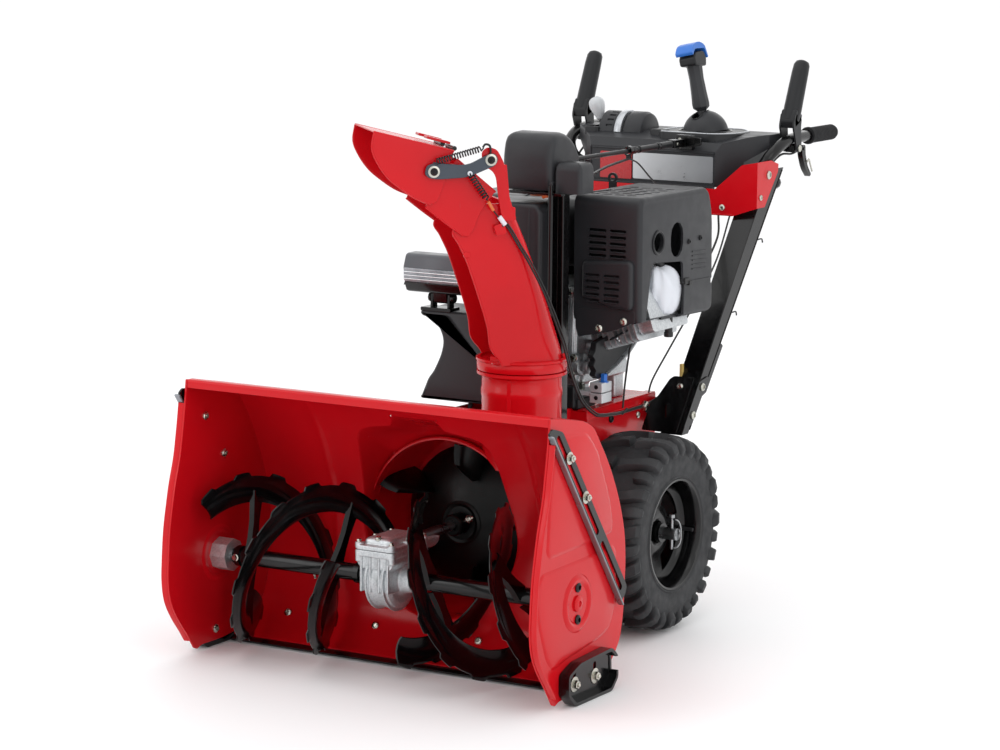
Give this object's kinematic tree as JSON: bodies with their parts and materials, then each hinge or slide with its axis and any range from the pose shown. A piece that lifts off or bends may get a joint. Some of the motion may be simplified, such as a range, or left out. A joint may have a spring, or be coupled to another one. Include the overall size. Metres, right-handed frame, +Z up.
{
  "type": "two stage snowblower",
  "caption": "Walk-behind two stage snowblower: serrated augers and impeller in a wide housing, turning chute with folding deflector, engine, lugged wheels and console with joystick.",
  "frame": {"origin": "middle of the footprint, on the ground plane", "axes": "+Z up; -Y is the working front, +Y towards the operator; +X is the operator's left"},
  "size_m": [0.8828, 1.584, 1.172],
  "materials": {
    "red_paint": "gloss powder coat, wear at edges",
    "black_paint": "gloss powder coat",
    "plastic": "fine moulded grain",
    "rubber": "matt",
    "tyre": "matt, lugged tread",
    "aluminium": "cast",
    "steel": "zinc plated",
    "lamp": "satin",
    "blue_plastic": "satin",
    "knob": "satin"
  },
  "bodies": {
    "machine": {"auger_housing": "red_paint", "impeller_drum": "red_paint", "side_plate_left": "red_paint", "side_plate_right": "red_paint", "scraper_blade": "black_paint", "skid_left": "black_paint", "skid_right": "black_paint", "gearbox_case": "aluminium", "gearbox_cover": "aluminium", "auger_bearing_left": "steel", "auger_bearing_right": "steel", "auger_belt": "rubber", "belt_cover": "plastic", "chute_column": "black_paint", "gear_cap": "plastic", "traction_frame": "red_paint", "crankcase": "aluminium", "cylinder_block": "aluminium", "engine_cover": "plastic", "recoil_housing": "plastic", "fuel_tank": "plastic", "handle_leg_left": "black_paint", "handle_leg_right": "black_paint", "console_support": "red_paint", "console": "plastic", "handlebar": "black_paint", "grip_left": "rubber", "grip_right": "rubber", "deflector_cable": "rubber"},
    "augers": {"auger_left": "black_paint", "auger_right": "black_paint", "auger_shaft": "steel", "worm_wheel": "steel"},
    "impeller_assembly": {"impeller": "black_paint", "impeller_shaft": "steel", "impeller_pulley": "steel"},
    "crankshaft": {"crankshaft": "steel"},
    "wheel_left": {"tyre_left": "tyre", "rim_left": "black_paint", "axle_left": "steel"},
    "wheel_right": {"tyre_right": "tyre", "rim_right": "black_paint", "axle_right": "steel"},
    "chute": {"chute": "red_paint"},
    "lower_deflector": {"lower_deflector": "red_paint"},
    "hood": {"hood": "red_paint"},
    "link_arm": {"link_arm": "steel"},
    "chute_drive_shaft": {"chute_drive_shaft": "steel"},
    "control_rod": {"control_rod": "steel"},
    "joystick_dome": {"joystick_dome": "plastic"},
    "joystick": {"joystick": "plastic"},
    "joystick_trigger": {"joystick_trigger": "blue_plastic"},
    "speed_lever": {"speed_lever": "knob"},
    "control_lever_left": {"control_lever_left": "plastic"},
    "control_lever_right": {"control_lever_right": "plastic"},
    "steering_trigger_left": {"steering_trigger_left": "black_paint"},
    "steering_trigger_right": {"steering_trigger_right": "black_paint"},
    "headlamp": {"headlamp": "lamp"},
    "drift_cutter_left": {"drift_cutter_left": "black_paint"},
    "drift_cutter_right": {"drift_cutter_right": "black_paint"}
  },
  "joints": [
    {"name": "auger_spin", "type": "hinge", "parent": "machine", "child": "augers", "pos_m": [0, -0.621, 0.188], "axis": [1, 0, 0], "continuous": true},
    {"name": "impeller_spin", "type": "hinge", "parent": "machine", "child": "impeller_assembly", "pos_m": [0, -0.323, 0.25], "axis": [0, 1, 0], "continuous": true},
    {"name": "crank_spin", "type": "hinge", "parent": "machine", "child": "crankshaft", "pos_m": [0, -0.123, 0.6], "axis": [0, 1, 0], "continuous": true},
    {"name": "wheel_spin_left", "type": "hinge", "parent": "machine", "child": "wheel_left", "pos_m": [0.234, -0.027, 0.203], "axis": [1, 0, 0], "continuous": true},
    {"name": "wheel_spin_right", "type": "hinge", "parent": "machine", "child": "wheel_right", "pos_m": [-0.234, -0.027, 0.203], "axis": [1, 0, 0], "continuous": true},
    {"name": "chute_turn", "type": "hinge", "parent": "machine", "child": "chute", "pos_m": [0.132, -0.353, 0.6], "axis": [0, 0, 1], "range_deg": [-50, 140], "deforming": ["deflector_cable"]},
    {"name": "lower_deflector_tilt", "type": "hinge", "parent": "chute", "child": "lower_deflector", "pos_m": [0.0797, -0.4053, 0.934], "axis": [0.7071, -0.7071, 0], "range_deg": [-2, 25]},
    {"name": "hood_tilt", "type": "hinge", "parent": "lower_deflector", "child": "hood", "pos_m": [0.0203, -0.4647, 1.006], "axis": [0.7071, -0.7071, 0], "range_deg": [-4, 44]},
    {"name": "link_tilt", "type": "hinge", "parent": "chute", "child": "link_arm", "pos_m": [0.0698, -0.4152, 0.994], "axis": [0.7071, -0.7071, 0], "range_deg": [-4, 40]},
    {"name": "chute_drive_spin", "type": "hinge", "parent": "machine", "child": "chute_drive_shaft", "pos_m": [0.131, -0.245, 0.75], "axis": [0, 0, 1], "range_deg": [-640, 230]},
    {"name": "control_rod_spin", "type": "hinge", "parent": "machine", "child": "control_rod", "pos_m": [0.082, 0.147, 0.96], "axis": [0, 1, 0], "range_deg": [-640, 230]},
    {"name": "joystick_side", "type": "hinge", "parent": "machine", "child": "joystick_dome", "pos_m": [0.08, 0.522, 0.972], "axis": [0, 1, 0], "range_deg": [-14, 38]},
    {"name": "joystick_pitch", "type": "hinge", "parent": "joystick_dome", "child": "joystick", "pos_m": [0.08, 0.522, 0.972], "axis": [0.9781, 0, 0.2079], "range_deg": [-2, 18]},
    {"name": "joystick_trigger_squeeze", "type": "hinge", "parent": "joystick", "child": "joystick_trigger", "pos_m": [0.042, 0.55, 1.151], "axis": [0.9781, 0, 0.2079], "range_deg": [0, 8], "stiffness_Nm_per_rad": 0.3, "springref_deg": -17.19},
    {"name": "speed_lever_turn", "type": "hinge", "parent": "machine", "child": "speed_lever", "pos_m": [-0.16, 0.522, 0.93], "axis": [0.9455, 0, 0.3256], "range_deg": [-30, 30]},
    {"name": "control_lever_left_squeeze", "type": "hinge", "parent": "machine", "child": "control_lever_left", "pos_m": [0.257, 0.587, 0.945], "axis": [-1, 0, 0], "range_deg": [0, 42], "stiffness_Nm_per_rad": 2, "springref_deg": -20.05},
    {"name": "steering_trigger_left_squeeze", "type": "hinge", "parent": "machine", "child": "steering_trigger_left", "pos_m": [0.257, 0.633, 0.94], "axis": [1, 0, 0], "range_deg": [0, 18], "stiffness_Nm_per_rad": 0.3, "springref_deg": -22.92},
    {"name": "drift_cutter_left_slide", "type": "slide", "parent": "machine", "child": "drift_cutter_left", "axis": [0, -0.6046, 0.7965], "range_m": [-0.045, 0.085]},
    {"name": "control_lever_right_squeeze", "type": "hinge", "parent": "machine", "child": "control_lever_right", "pos_m": [-0.257, 0.587, 0.945], "axis": [-1, 0, 0], "range_deg": [0, 42], "stiffness_Nm_per_rad": 2, "springref_deg": -20.05},
    {"name": "steering_trigger_right_squeeze", "type": "hinge", "parent": "machine", "child": "steering_trigger_right", "pos_m": [-0.257, 0.633, 0.94], "axis": [1, 0, 0], "range_deg": [0, 18], "stiffness_Nm_per_rad": 0.3, "springref_deg": -22.92},
    {"name": "drift_cutter_right_slide", "type": "slide", "parent": "machine", "child": "drift_cutter_right", "axis": [0, -0.6046, 0.7965], "range_m": [-0.045, 0.085]},
    {"name": "headlamp_tilt", "type": "hinge", "parent": "machine", "child": "headlamp", "pos_m": [-0.129, -0.229, 0.675], "axis": [1, 0, 0], "range_deg": [-15, 15]}
  ],
  "couplings": [
    {"joint": "impeller_spin", "follows": "auger_spin", "ratio": 10},
    {"joint": "hood_tilt", "follows": "lower_deflector_tilt", "ratio": 1.7},
    {"joint": "link_tilt", "follows": "lower_deflector_tilt", "ratio": 1.5},
    {"joint": "joystick_pitch", "follows": "lower_deflector_tilt", "ratio": 0.6},
    {"joint": "chute_drive_spin", "follows": "chute_turn", "ratio": -4.513},
    {"joint": "control_rod_spin", "follows": "chute_turn", "ratio": -4.513},
    {"joint": "joystick_side", "follows": "chute_turn", "ratio": 0.2667}
  ]
}
